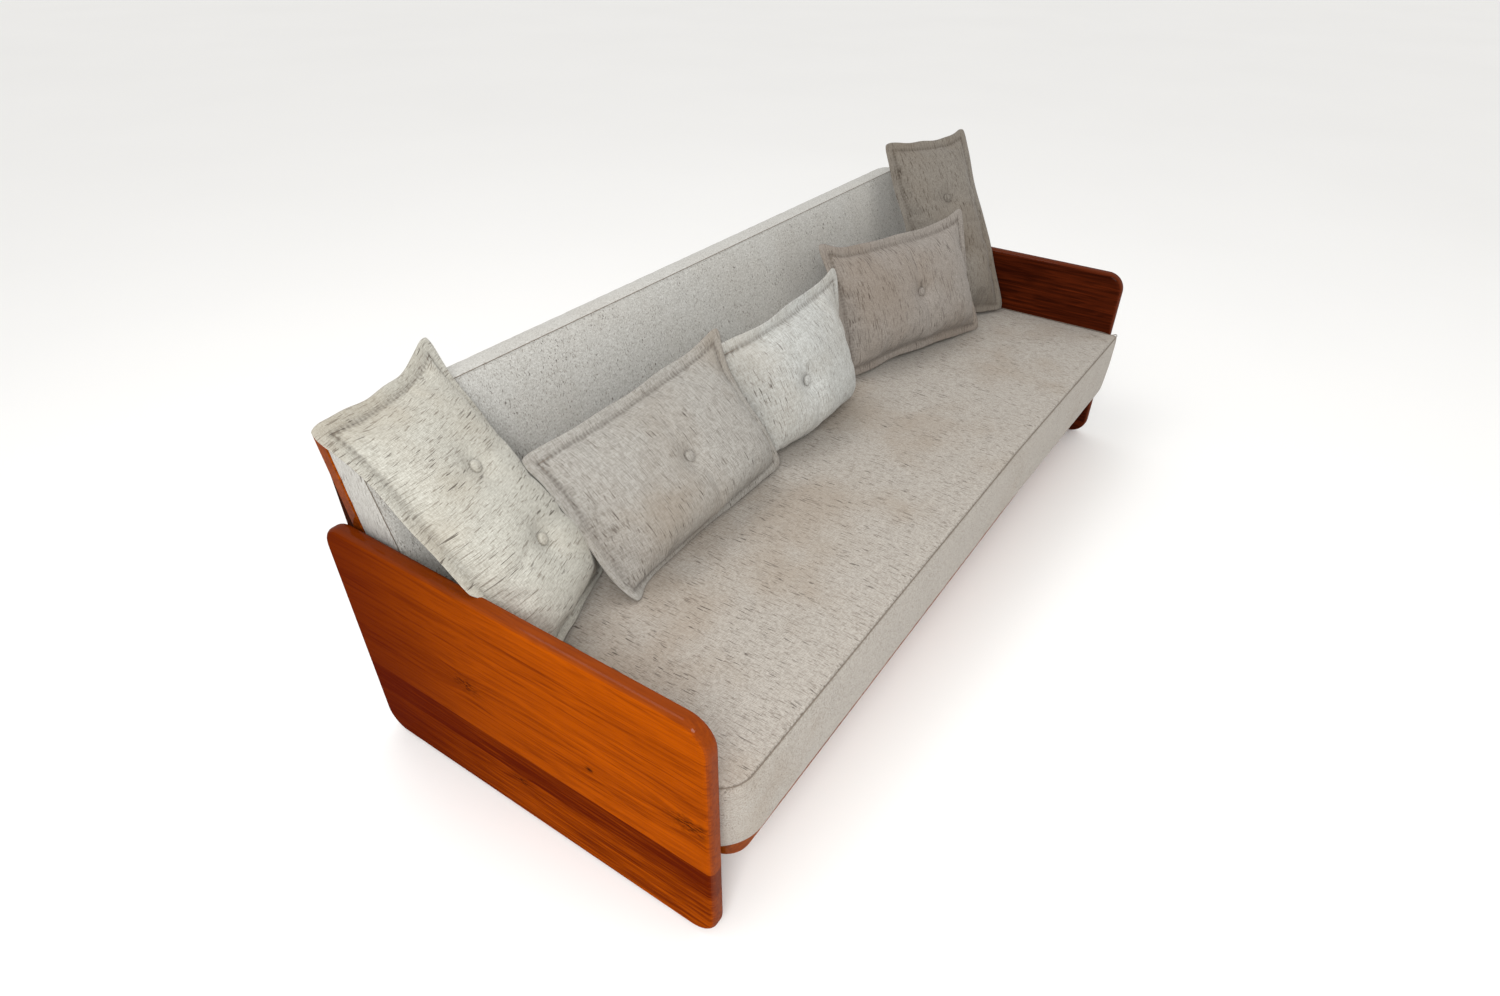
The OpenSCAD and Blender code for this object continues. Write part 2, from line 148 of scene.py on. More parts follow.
def tweed(name, along, tint, stain=0.3, seed=0.0, painted_seam_shade=0.75):
    """Slubby wool and linen weave, with dark flecks that run along one axis of the cloth.

    tint scales every tone, stain is how strongly worn patches show, and the last argument is how
    strongly painted shade darkens the cloth along seams and round buttons.
    """
    mat, tree, bsdf = new_material(name, 0.94, Sheen_Weight=0.1, Sheen_Roughness=0.5,
                                   Specular_IOR_Level=0.1)
    co = node(tree, "ShaderNodeAttribute", attribute_name=WEAVE).outputs["Vector"]
    off = (seed, seed * 1.7, seed * 0.6)
    weft_axis = Z if along == X else X
    warp = noise_at(tree, scaled(tree, co, stretch(along, *WARP), off), 3, 0.6)
    weft = noise_at(tree, scaled(tree, co, stretch(weft_axis, *WEFT), off[::-1]), 2, 0.6)
    grit = noise_at(tree, scaled(tree, co, [GRIT] * 3, off), 1, 0.5)
    cloud = noise_at(tree, scaled(tree, co, [CLOUD] * 3, off), 2, 0.5)
    patch = noise_at(tree, scaled(tree, co, [PATCH] * 3, off), 2, 0.5)
    small = noise_at(tree, scaled(tree, co, stretch(along, *SMALL_FLECK), off), 1, 0.5)
    large = noise_at(tree, scaled(tree, co, stretch(along, *LARGE_FLECK), off[::-1]), 1, 0.5)

    def tone(r, g, b):
        return [v * t for v, t in zip(srgb(r, g, b)[:3], tint)] + [1]

    yarn = calc(tree, "ADD", calc(tree, "MULTIPLY", warp, 0.6), calc(tree, "MULTIPLY", weft, 0.4))
    c = mix(tree, ramp(tree, yarn, 0.34, 0.64), tone(160, 156, 149), tone(198, 196, 190))
    c = mix(tree, calc(tree, "MULTIPLY", ramp(tree, grit, 0.45, 0.70), 0.3), c, tone(150, 145, 137))
    worn = ramp(tree, calc(tree, "ADD", cloud, calc(tree, "MULTIPLY", patch, 0.22)), 0.52, 0.82)
    c = mix(tree, calc(tree, "MULTIPLY", worn, stain), c, tone(156, 141, 122))
    c = mix(tree, calc(tree, "MULTIPLY", ramp(tree, small, 0.62, 0.70), 0.55), c, tone(98, 86, 76))
    busy = ramp(tree, patch, 0.37, 0.59)
    fleck = calc(tree, "MULTIPLY", ramp(tree, large, 0.655, 0.70), busy)
    c = mix(tree, calc(tree, "MULTIPLY", fleck, 0.75), c, srgb(62, 52, 45))
    # Painted shade, darker where the seam attribute is high: along seams, round buttons and on their rims.
    seam = node(tree, "ShaderNodeAttribute", attribute_name=SEAM_SHADE).outputs["Fac"]
    c = mix(tree, calc(tree, "MULTIPLY", seam, painted_seam_shade), c, srgb(66, 58, 50))
    tree.links.new(c, bsdf.inputs["Base Color"])
    xyz = node(tree, "ShaderNodeSeparateXYZ", {0: scaled(tree, co, [WEAVE_WAVE] * 3)}).outputs
    sines = [calc(tree, "SINE", xyz[i]) for i in range(3)]
    weave = calc(tree, "ADD", calc(tree, "MULTIPLY", sines[0], sines[1]),
                 calc(tree, "ADD", calc(tree, "MULTIPLY", sines[1], sines[2]),
                      calc(tree, "MULTIPLY", sines[2], sines[0])))
    height = calc(tree, "ADD", calc(tree, "MULTIPLY", weave, 0.14), yarn)
    bump(tree, bsdf, calc(tree, "ADD", height, calc(tree, "MULTIPLY", grit, 0.5)), 0.0010, 0.7)
    return mat


def teak(name, run, rise, planks, low, high, knots=(), gloss=0.2, seed=0.0, shade_along_run=None):
    """Lacquered edge-glued boards, whose grain runs along axis run and which are stacked along rise.

    planks: (upper edge, tone) from the lowest; knots: (place along run, place along rise, radius);
    last argument: (start, end, amount) of painted shade that darkens the boards along run.
    """
    mat, tree, bsdf = new_material(name, gloss, Coat_Roughness=0.07, Specular_IOR_Level=0.0)
    co = node(tree, "ShaderNodeTexCoord").outputs["Object"]
    parts = node(tree, "ShaderNodeSeparateXYZ", {0: co}).outputs
    along, up = parts[run], parts[rise]
    swirl, heart = 0.0, 0.0
    for k_run, k_rise, r in knots:
        dx = calc(tree, "DIVIDE", calc(tree, "SUBTRACT", along, k_run), r * 1.9)
        dz = calc(tree, "DIVIDE", calc(tree, "SUBTRACT", up, k_rise), r)
        d2 = calc(tree, "ADD", calc(tree, "MULTIPLY", dx, dx), calc(tree, "MULTIPLY", dz, dz))
        near = calc(tree, "EXPONENT", calc(tree, "MULTIPLY", d2, -0.45))
        swirl = calc(tree, "ADD", swirl, calc(tree, "MULTIPLY", near, calc(tree, "MULTIPLY", dz, r * 0.9)))
        heart = calc(tree, "ADD", heart, calc(tree, "EXPONENT", calc(tree, "MULTIPLY", d2, -1.9)))
    tone, shift, joints = planks[0][1], 0.0, 1.0
    for (edge, _), (_, t) in zip(planks, planks[1:]):
        step = calc(tree, "GREATER_THAN", up, edge)
        joint = ramp(tree, calc(tree, "ABSOLUTE", calc(tree, "SUBTRACT", up, edge)), 0.0, 0.0016)
        joints = calc(tree, "MULTIPLY", joints, joint)
        below = calc(tree, "SUBTRACT", 1.0, step)
        tone = calc(tree, "ADD", calc(tree, "MULTIPLY", step, t), calc(tree, "MULTIPLY", below, tone))
        shift = calc(tree, "ADD", shift, calc(tree, "MULTIPLY", step, 3.7))
    depth = 3 - run - rise      # the axis through the board's thickness
    axes = [parts[0], parts[1], parts[2]]
    axes[rise] = calc(tree, "ADD", up, swirl)
    axes[depth] = calc(tree, "ADD", parts[depth], calc(tree, "ADD", shift, seed))
    grain_co = node(tree, "ShaderNodeCombineXYZ", {0: axes[0], 1: axes[1], 2: axes[2]}).outputs[0]
    streak = noise_at(tree, scaled(tree, grain_co, stretch(run, 150, 4.5)), 5, 0.62, 0.35)
    figure = noise_at(tree, scaled(tree, grain_co, stretch(run, 26, 1.6)), 3, 0.5, 0.6)
    curl = calc(tree, "SINE", calc(tree, "MULTIPLY", figure, 60.0))
    pore = noise_at(tree, scaled(tree, grain_co, stretch(run, 900, 26)), 2, 0.5)
    drift = noise_at(tree, scaled(tree, grain_co, stretch(run, 9, 3)), 2, 0.5)
    level = calc(tree, "ADD", tone, calc(tree, "MULTIPLY", calc(tree, "SUBTRACT", streak, 0.5), 1.35))
    level = calc(tree, "ADD", level, calc(tree, "MULTIPLY", curl, 0.09))
    level = calc(tree, "ADD", level, calc(tree, "MULTIPLY", calc(tree, "SUBTRACT", drift, 0.5), 0.5))
    c = mix(tree, ramp(tree, level, -0.05, 1.05), low, high)
    c = mix(tree, calc(tree, "MULTIPLY", ramp(tree, pore, 0.60, 0.72), 0.35), c, low)
    cracked = noise_at(tree, scaled(tree, grain_co, stretch(run, 120, 60)), 3, 0.6)
    rings = calc(tree, "MULTIPLY", heart, ramp(tree, cracked, 0.40, 0.62), clamp=True)
    c = mix(tree, calc(tree, "MULTIPLY", rings, 0.95), c, srgb(30, 8, 2))
    c = mix(tree, calc(tree, "MULTIPLY", calc(tree, "SUBTRACT", 1.0, joints), 0.45), c, low)
    normal = node(tree, "ShaderNodeSeparateXYZ", {0: node(tree, "ShaderNodeTexCoord").outputs["Normal"]})
    face = calc(tree, "ABSOLUTE", normal.outputs[depth])
    rim = calc(tree, "SUBTRACT", 1.0, ramp(tree, face, 0.55, 0.97))
    # Painted shade: the boards darken along run, for the left panel towards its rear, away from the lamp
    # at the front left.
    if shade_along_run:
        start, end, amount = shade_along_run
        c = mix(tree, calc(tree, "MULTIPLY", ramp(tree, along, start, end), amount), c, srgb(78, 16, 1))
    c = mix(tree, calc(tree, "MULTIPLY", rim, 0.6), c, srgb(100, 40, 8))
    tree.links.new(calc(tree, "ADD", 0.015, calc(tree, "MULTIPLY", rim, 0.16)), bsdf.inputs["Coat Weight"])
    tree.links.new(c, bsdf.inputs["Base Color"])
    rough = calc(tree, "ADD", gloss - 0.05, calc(tree, "MULTIPLY", drift, 0.16))
    tree.links.new(rough, bsdf.inputs["Roughness"])
    bump(tree, bsdf, calc(tree, "ADD", streak, calc(tree, "MULTIPLY", pore, -0.5)), 0.0005, 0.35)
    return mat


def beech(name, run):
    """Pale plain beech with short rays, whose grain runs along axis run."""
    mat, tree, bsdf = new_material(name, 0.5)
    co = node(tree, "ShaderNodeTexCoord").outputs["Object"]
    streak = noise_at(tree, scaled(tree, co, stretch(run, 120, 5)), 4, 0.6)
    ray = noise_at(tree, scaled(tree, co, stretch(run, 700, 160)), 1, 0.5)
    c = mix(tree, ramp(tree, streak, 0.3, 0.7), srgb(196, 154, 108), srgb(222, 186, 142))
    c = mix(tree, calc(tree, "MULTIPLY", ramp(tree, ray, 0.62, 0.7), 0.5), c, srgb(168, 120, 78))
    tree.links.new(c, bsdf.inputs["Base Color"])
    bump(tree, bsdf, streak, 0.0006, 0.4)
    return mat


def brushed_steel(name):
    """Steel fittings with fine lines along Y."""
    mat, tree, bsdf = new_material(name, 0.34, Metallic=1.0)
    co = node(tree, "ShaderNodeTexCoord").outputs["Object"]
    lines = noise_at(tree, scaled(tree, co, (1500, 60, 1500)), 2, 0.5)
    c = mix(tree, lines, srgb(150, 152, 156), srgb(196, 198, 200))
    tree.links.new(c, bsdf.inputs["Base Color"])
    tree.links.new(calc(tree, "ADD", 0.24, calc(tree, "MULTIPLY", lines, 0.22)), bsdf.inputs["Roughness"])
    bump(tree, bsdf, lines, 0.0002, 0.3)
    return mat


def nylon(name):
    """Milky plastic of the runner strips and glides."""
    mat, tree, bsdf = new_material(name, 0.45, Subsurface_Weight=0.05)
    co = node(tree, "ShaderNodeTexCoord").outputs["Object"]
    haze = noise_at(tree, scaled(tree, co, (60, 60, 60)), 3, 0.5)
    c = mix(tree, haze, srgb(206, 204, 196), srgb(236, 235, 229))
    tree.links.new(c, bsdf.inputs["Base Color"])
    bump(tree, bsdf, noise_at(tree, scaled(tree, co, (900, 900, 900)), 1, 0.5), 0.0002, 0.3)
    return mat


def thread(name):
    """Twisted sewing thread."""
    mat, tree, bsdf = new_material(name, 0.85)
    co = node(tree, "ShaderNodeTexCoord").outputs["Object"]
    ply = noise_at(tree, scaled(tree, co, (500, 500, 500)), 2, 0.5)
    c = mix(tree, ply, srgb(92, 82, 72), srgb(136, 124, 110))
    tree.links.new(c, bsdf.inputs["Base Color"])
    bump(tree, bsdf, ply, 0.0006, 0.6)
    return mat


# ---- mesh helpers -------------------------------------------------------------------------------

def make_object(name, verts, faces, material=None):
    """A smooth mesh in the scene."""
    mesh = bpy.data.meshes.new(name)
    mesh.from_pydata([tuple(v) for v in verts], [], faces)
    mesh.update()
    mesh.shade_smooth()
    obj = bpy.data.objects.new(name, mesh)
    scene.collection.objects.link(obj)
    if material:
        mesh.materials.append(material)
    return obj


def coords(obj):
    """The mesh's points, one row each."""
    co = np.zeros(len(obj.data.vertices) * 3)
    obj.data.vertices.foreach_get("co", co)
    return co.reshape(-1, 3)


def keep_weave(obj, co):
    """Stores where each point lies on its cushion, so that the weave stays put when it bends."""
    att = obj.data.attributes.new(WEAVE, "FLOAT_VECTOR", "POINT")
    att.data.foreach_set("vector", np.asarray(co, np.float32).ravel())


def set_coords(obj, co):
    """Moves the mesh's points to the given rows."""
    obj.data.vertices.foreach_set("co", np.asarray(co, float).ravel())
    obj.data.update()


def subdivide(obj):
    """Applies one level of subdivision surface and keeps the object's name."""
    mod = obj.modifiers.new("smooth", "SUBSURF")
    mod.levels = mod.render_levels = 1
    mod.boundary_smooth = "PRESERVE_CORNERS"
    done = bpy.data.meshes.new_from_object(obj.evaluated_get(bpy.context.evaluated_depsgraph_get()))
    obj.modifiers.remove(mod)
    old, obj.data = obj.data, done
    done.name = obj.name
    bpy.data.meshes.remove(old)
    obj.data.shade_smooth()


def smooth_noise(points, scale, seed):
    """Slow noise, about -1 to 1, at each point."""
    off = Vector((seed, seed * 2.3, -seed))
    return np.array([noise.noise(Vector(p) * scale + off) for p in points])


def shade_seam(obj, line, core, fade):
    """Paints shade on the cloth near a sewn line: 1 up to core away, 0 beyond core + fade."""
    co = coords(obj)
    near = np.full(len(co), 9.0)
    for p in line:
        near = np.minimum(near, np.linalg.norm(co - p, axis=1))
    att = obj.data.attributes.new(SEAM_SHADE, "FLOAT", "POINT")
    att.data.foreach_set("value", np.clip(1 - (near - core) / fade, 0, 1).astype(np.float32))


def shade_ring(obj, spots):
    """Adds weaker painted shade round each spot, under a button's rim."""
    co = coords(obj)
    att = obj.data.attributes[SEAM_SHADE]
    mark = np.zeros(len(co), np.float32)
    att.data.foreach_get("value", mark)
    for p in spots:
        mark = np.maximum(mark, 0.45 * np.clip(1 - np.linalg.norm(co - p, axis=1) / 0.006, 0, 1))
    att.data.foreach_set("value", mark.astype(np.float32))


def tube(name, points, radius, material, closed=False, sides=6):
    """A thin sewn line as a round tube through the points."""
    pts = [Vector(p) for p in points]
    n = len(pts)
    verts, faces = [], []
    for i, p in enumerate(pts):
        a = pts[(i - 1) % n] if closed or i > 0 else p
        b = pts[(i + 1) % n] if closed or i < n - 1 else p
        t = (b - a).normalized() if (b - a).length > 1e-9 else Vector((1, 0, 0))
        side = t.cross(Vector((0, 0, 1)) if abs(t.z) < 0.9 else Vector((0, 1, 0))).normalized()
        up = side.cross(t)
        r = radius * (1 + 0.12 * math.sin(i * 2.4))
        for k in range(sides):
            ang = 2 * math.pi * k / sides
            verts.append(p + r * (math.cos(ang) * side + math.sin(ang) * up))
    for i in range(n if closed else n - 1):
        j = (i + 1) % n
        for k in range(sides):
            m = (k + 1) % sides
            faces.append((i * sides + k, i * sides + m, j * sides + m, j * sides + k))
    if not closed:
        faces.append(tuple(range(sides))[::-1])
        faces.append(tuple((n - 1) * sides + k for k in range(sides)))
    return make_object(name, verts, faces, material)


def covered_button(name, radius, material, seed):
    """A low dome with a rolled rim, slightly uneven, whose face looks towards -Y."""
    profile = [(0.0, -0.0062), (0.35, -0.0060), (0.62, -0.0052), (0.84, -0.0036), (0.97, -0.0016),
               (1.0, 0.0), (0.96, 0.0016), (0.8, 0.0026), (0.4, 0.0030), (0.0, 0.0030)]
    turns = 28
    verts, faces = [(0, profile[0][1], 0)], []
    for r, y in profile[1:-1]:
        for k in range(turns):
            a = 2 * math.pi * k / turns
            uneven = 1 + 0.025 * math.sin(2 * a + seed) + 0.012 * math.sin(5 * a + seed * 2)
            verts.append((radius * r * uneven * math.cos(a), y, radius * r * uneven * math.sin(a)))
    verts.append((0, profile[-1][1], 0))
    rings = len(profile) - 2
    for k in range(turns):
        m = (k + 1) % turns
        faces.append((0, 1 + k, 1 + m))
        for i in range(rings - 1):
            a, b = 1 + i * turns, 1 + (i + 1) * turns
            faces.append((a + k, b + k, b + m, a + m))
        last = 1 + (rings - 1) * turns
        faces.append((len(verts) - 1, last + m, last + k))
    return make_object(name, verts, faces, material)


def start_cloth(obj, pins, pressure, slack, bending=0.4):
    """Sets a piece up to fill out like stuffed fabric. Pinned vertices stay."""
    group = obj.vertex_groups.new(name="pins")
    group.add([int(i) for i in pins], 1.0, "REPLACE")
    mod = obj.modifiers.new("Cloth", "CLOTH")
    s = mod.settings
    s.quality = 5
    s.mass = 0.25
    s.tension_stiffness = s.compression_stiffness = 12
    s.shear_stiffness = 6
    s.bending_stiffness = bending
    s.tension_damping = s.compression_damping = 8
    s.air_damping = 3
    s.use_pressure = True
    s.uniform_pressure_force = pressure
    s.vertex_group_mass = "pins"
    s.shrink_min = -slack
    s.effector_weights.gravity = 0
    mod.collision_settings.use_collision = False
    mod.point_cache.frame_start = 1
    mod.point_cache.frame_end = CLOTH_FRAMES


def run_cloth(objs, cap):
    """Runs every cloth together, then keeps the result. No point moves further than cap."""
    rest = {o.name: coords(o) for o in objs}
    for f in range(1, CLOTH_FRAMES + 1):
        scene.frame_set(f)
    graph = bpy.context.evaluated_depsgraph_get()
    for o in objs:
        done = o.evaluated_get(graph).to_mesh()
        co = np.zeros(len(done.vertices) * 3)
        done.vertices.foreach_get("co", co)
        o.evaluated_get(graph).to_mesh_clear()
        move = co.reshape(-1, 3) - rest[o.name]
        far = np.linalg.norm(move, axis=1, keepdims=True)
        limit = cap[o.name]
        move *= np.where(far > 1e-9, limit * np.tanh(far / limit) / np.maximum(far, 1e-9), 1)
        o.modifiers.clear()
        o.vertex_groups.clear()
        set_coords(o, rest[o.name] + move)
    scene.frame_set(1)


# ---- what the cushions lean on ------------------------------------------------------------------

SEAT_LOW, SEAT_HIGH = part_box("mattress_cover")
BACK_LOW, BACK_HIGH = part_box("back_cover")
PANEL_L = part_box("end_panel_left")
PANEL_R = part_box("end_panel_right")
SEAT_TOP = SEAT_HIGH.z
FACE_LEAN = math.radians(17)
FACE_FOOT = Vector((0, SEAT_LOW.y + 0.6655, SEAT_TOP - 0.018))   # foot of the backrest's front face
FACE_TOP = Vector((0, FACE_FOOT.y + (0.723 - FACE_FOOT.z) * math.tan(FACE_LEAN), 0.735))
TOP_REAR = Vector((0, FACE_TOP.y + 0.072, 0.721))


def plane(point, normal):
    """A face of a convex solid, as its outward unit normal and its distance along that."""
    n = np.array(normal, float)
    n /= np.linalg.norm(n)
    return n, float(n @ np.array(point, float))


SEAT_SOLID = [plane((0, 0, SEAT_TOP), (0, 0, 1))]
BACK_SOLID = [plane(FACE_FOOT, (0, -math.cos(FACE_LEAN), math.sin(FACE_LEAN))),
              plane(FACE_TOP, (0, FACE_TOP.z - TOP_REAR.z, TOP_REAR.y - FACE_TOP.y)),
              plane(TOP_REAR, (0, 1, -0.18))]
LEFT_SOLID = [plane((PANEL_L[1].x, 0, 0), (1, 0, 0)), plane((PANEL_L[0].x, 0, 0), (-1, 0, 0)),
              plane((0, 0, PANEL_L[1].z), (0, 0, 1))]
RIGHT_SOLID = [plane((PANEL_R[0].x, 0, 0), (-1, 0, 0)), plane((PANEL_R[1].x, 0, 0), (1, 0, 0)),
               plane((0, 0, PANEL_R[1].z), (0, 0, 1))]


def push_out(co, solid, gap):
    """Moves points that lie in a convex solid out through its nearest faces."""
    round_off = 0.008
    for _ in range(2):
        depth = np.stack([d + gap - co @ n for n, d in solid], 1)
        inside = depth.min(1) > 0
        w = np.exp(-(depth - depth.min(1, keepdims=True)) / round_off)
        w /= w.sum(1, keepdims=True)
        move = sum((w[:, i] * depth[:, i])[:, None] * solid[i][0] for i in range(len(solid)))
        co = co + np.where(inside[:, None], move, 0)
    return co


# ---- loose cushions -----------------------------------------------------------------------------

FLANGE = 0.027              # width of the flat sewn border
RIM_ROWS = 3                # rows of quads across it


class Cushion:
    """A knife-edge cushion with a flat sewn border, covered buttons and a topstitch line.

    It is made lying in XZ with its front towards -Y. Lengths are in metres, angles in degrees.
    size: over the border; buttons: heights of the buttons; slack: spare cloth, as a fraction.
    ears: (side, up or down, dx, dy, dz), how far a corner is pulled.
    bend: (start, amount, side, drop), how the cushion bends back and down beyond start.
    sag: how much fuller the foot is than the head; wave: ripple of the border.
    waist: how far the ends and the long sides pull in between the corners, as fractions.
    behind: the cushion that lies on this one.
    under: how far the lower edge is tucked back; loose: corners that stay out.
    """

    def __init__(self, name, size, thick, centre, lean, roll, yaw, buttons, seed,
                 slack=0.05, ears=(), bend=None, sag=0.24, wave=0.005, behind=None, under=0.030,
                 loose=(), waist=(0.026, 0.045)):
        self.name, self.thick, self.buttons, self.seed = name, thick, buttons, seed
        self.w, self.h = size[0] - 2 * FLANGE, size[1] - 2 * FLANGE
        self.slack, self.ears, self.bend, self.sag, self.wave = slack, ears, bend, sag, wave
        self.behind, self.under, self.loose, self.waist = behind, under, loose, waist
        self.place = (Matrix.Translation(centre) @ Matrix.Rotation(math.radians(yaw), 4, "Z")
                      @ Matrix.Rotation(math.radians(lean), 4, "X")
                      @ Matrix.Rotation(math.radians(roll), 4, "Y"))

    def build(self):
        """Makes the two-sided sheet: a padded field of nx by nz quads with the border round it."""
        m = RIM_ROWS
        nx, nz = round(self.w / STEP), round(self.h / STEP)
        self.cols, self.rows = nx + 2 * m, nz + 2 * m
        verts, index, self.kind, uv, cloth = [], {}, [], [], []
        for side in (FRONT, BACK):
            for k in range(self.rows + 1):
                for i in range(self.cols + 1):
                    edge = i in (0, self.cols) or k in (0, self.rows)
                    if side == BACK and edge:
                        index[side, i, k] = index[FRONT, i, k]
                        continue
                    index[side, i, k] = len(verts)
                    verts.append(self.point(i - m, k - m, nx, nz, side))
                    uv.append((2 * min(max(i - m, 0), nx) / nx - 1, 2 * min(max(k - m, 0), nz) / nz - 1))
                    cloth.append(((i - m) * STEP, side * 0.02, (k - m) * STEP))
        faces = []
        for side in (FRONT, BACK):
            for k in range(self.rows):
                for i in range(self.cols):
                    q = [index[side, i, k], index[side, i + 1, k],
                         index[side, i + 1, k + 1], index[side, i, k + 1]]
                    faces.append(q if side == FRONT else q[::-1])
        self.obj = make_object(self.name, verts, faces)
        self.obj.data.materials.append(self.material)
        keep_weave(self.obj, cloth)
        self.index, self.nx, self.nz, self.uv = index, nx, nz, np.array(uv)
        self.front = np.zeros(len(verts), bool)
        self.front[[n for (side, _, _), n in index.items() if side == FRONT]] = True
        return self.obj

    def point(self, a, b, nx, nz, side):
        """Place of a grid point. a and b count from the seam and are outside 0 to n in the border."""
        u = 2 * min(max(a, 0), nx) / nx - 1
        v = 2 * min(max(b, 0), nz) / nz - 1
        out_x = (max(-a, 0, a - nx)) / RIM_ROWS
        out_z = (max(-b, 0, b - nz)) / RIM_ROWS
        sx, sz = (1 if u > 0 else -1), (1 if v > 0 else -1)
        out = max(out_x, out_z)
        out_x, out_z = (out_x * math.sqrt(1 - 0.42 * out_z ** 2), out_z * math.sqrt(1 - 0.42 * out_x ** 2))
        uneven_x = 1 + 0.06 * math.sin(7 * v + self.seed)
        uneven_z = 1 + 0.06 * math.sin(9 * u + self.seed)
        x = self.w / 2 * u * (1 - self.waist[0] * (1 - v * v)) + sx * out_x * FLANGE * uneven_x
        z = self.h / 2 * v * (1 - self.waist[1] * (1 - u * u)) + sz * out_z * FLANGE * uneven_z
        if abs(u) == 1:
            x += self.wobble(z)
        if abs(v) == 1:
            z += self.wobble(x)
        if out:
            y = side * 0.0030 * math.sqrt(max(0, 1 - out ** 3))
        elif abs(u) == 1 or abs(v) == 1:
            y = side * 0.0009
        else:
            swell = math.sqrt((1 - abs(u) ** 2.4) * (1 - abs(v) ** 2.4))
            y = side * (0.0009 + self.thick * 0.30 * swell)
            y *= 1 + 0.05 * math.sin(x * 31 + self.seed) * math.sin(z * 27 + self.seed)
        self.kind.append("rim" if out else "seam" if abs(u) == 1 or abs(v) == 1 else "face")
        return x, y, z

    def wobble(self, s):
        """How far a seam wanders from straight at place s along it."""
        return 0.0016 * math.sin(s * 9 + self.seed) + 0.001 * math.sin(s * 23 + self.seed * 3)

    def pins(self):
        """Borders and seams stay; a small disc at each button stays, pulled in."""
        tuft_radius, tuft_depth = 0.011, 0.021
        co = coords(self.obj)
        pins = [i for i, k in enumerate(self.kind) if k != "face"]
        for bz in self.buttons:
            for side in (FRONT, BACK):
                d = np.hypot(co[:, 0], co[:, 2] - bz)
                near = [i for i in range(len(co))
                        if d[i] < tuft_radius and co[i, 1] * side > 0 and self.kind[i] == "face"]
                for i in near:
                    co[i, 1] = side * (self.thick / 2 - tuft_depth)
                pins += near
        set_coords(self.obj, co)
        return pins

    def settle(self, solids):
        """Gives the cushion its thickness, its sag and bends, and rests it on its neighbours."""
        co = coords(self.obj)
        kind = np.array(self.kind)
        face, rim = kind == "face", kind == "rim"
        u, v = self.uv.T
        side = np.where(self.front, FRONT, BACK)
        stuffed = co[:, 1] * (self.thick / 2) / np.percentile(np.abs(co[face, 1]), 97)
        fuller = np.where(v < 0, 4.4, 2.6)
        even = side * self.thick / 2 * ((1 - np.abs(u) ** 2.8) * (1 - np.abs(v) ** fuller)) ** 0.42
        dent_radius = 0.026
        for bz in self.buttons:
            even *= 1 - 0.30 * np.exp(-(co[:, 0] ** 2 + (co[:, 2] - bz) ** 2) / dent_radius ** 2)
        co[face, 1] = ((0.4 * stuffed + 0.6 * even) * (1 - self.sag * v))[face]
        shake = smooth_noise(co * (1, 0.2, 1), 9.0, self.seed)
        co[:, 1] += np.where(face, 0, self.wave * 2.2 * shake * np.where(rim, 1.0, 0.35))
        self.curl(co)
        for cx, cz, dx, dy, dz in self.ears:
            corner = np.array([cx * (self.w / 2 + FLANGE), 0, cz * (self.h / 2 + FLANGE)])
            near = np.exp(-(((co - corner) / 0.05) ** 2)[:, [0, 2]].sum(1))[:, None]
            co += near * np.array([dx, dy, dz])
        if self.bend:
            start, amount, sx, drop = self.bend
            over = np.maximum(0, sx * co[:, 0] - start) / 0.1
            push = amount * over ** 2 / (1 + 0.3 * over)
            co[:, 1] += push
            co[:, 2] -= push * drop
        world = np.array(self.place)
        pts = co @ world[:3, :3].T + world[:3, 3]
        if self.behind:
            pts = self.tuck(pts, self.behind)
        cloth_apart = 0.0022        # keeps a flattened cushion's front off its back
        for solid, gap in solids:
            for on_front in (False, True):
                sel = self.front == on_front
                pts[sel] = push_out(pts[sel], solid, gap + (cloth_apart if on_front else 0))
        back = np.linalg.inv(world)
        set_coords(self.obj, pts @ back[:3, :3].T + back[:3, 3])

    def curl(self, co):
        """Bends the lower edge and its border back under the cushion, except at loose corners."""
        free = np.ones(len(co))
        for cx, cz in self.loose:
            at = np.array([cx * (self.w / 2 + FLANGE), cz * (self.h / 2 + FLANGE)])
            free -= np.exp(-((co[:, [0, 2]] - at) ** 2).sum(1) / 0.075 ** 2)
        low = np.clip((-co[:, 2] / (self.h / 2) - 0.45) / 0.55, 0, None)
        turn = self.under * low ** 2 * np.clip(free, 0, 1)
        co[:, 1] += turn
        co[:, 2] += 0.3 * turn

    def tuck(self, pts, other):
        """Presses what overlaps another cushion to lie behind it, with a valley along its edge."""
        m = np.array(other.place)
        inv = np.linalg.inv(m)
        q = pts @ inv[:3, :3].T + inv[:3, 3]
        half_w, half_h = other.w / 2 + FLANGE, other.h / 2 + FLANGE
        u, v = np.abs(q[:, 0]) / half_w, np.abs(q[:, 2]) / half_h
        over = np.sqrt(np.clip(1 - u ** 3, 0, 1) * np.clip(1 - v ** 3, 0, 1))
        away = np.hypot(np.maximum(0, np.abs(q[:, 0]) - half_w), np.maximum(0, np.abs(q[:, 2]) - half_h))
        wall = 0.006 + 0.46 * other.thick * over - 1.5 * away + np.where(self.front, 0, 0.005)
        soft = 0.006
        q[:, 1] += soft * np.logaddexp(0, (wall - q[:, 1]) / soft)
        return q @ m[:3, :3].T + m[:3, 3]

    def seam_path(self, side):
        """The points of the sewn line round one side, in order."""
        m, nx, nz, idx = RIM_ROWS, self.nx, self.nz, self.index
        ring = [(i, 0) for i in range(nx)] + [(nx, k) for k in range(nz)]
        ring += [(i, nz) for i in range(nx, 0, -1)] + [(0, k) for k in range(nz, 0, -1)]
        co = coords(self.obj)
        return [Vector(co[idx[side, i + m, k + m]]) for i, k in ring]

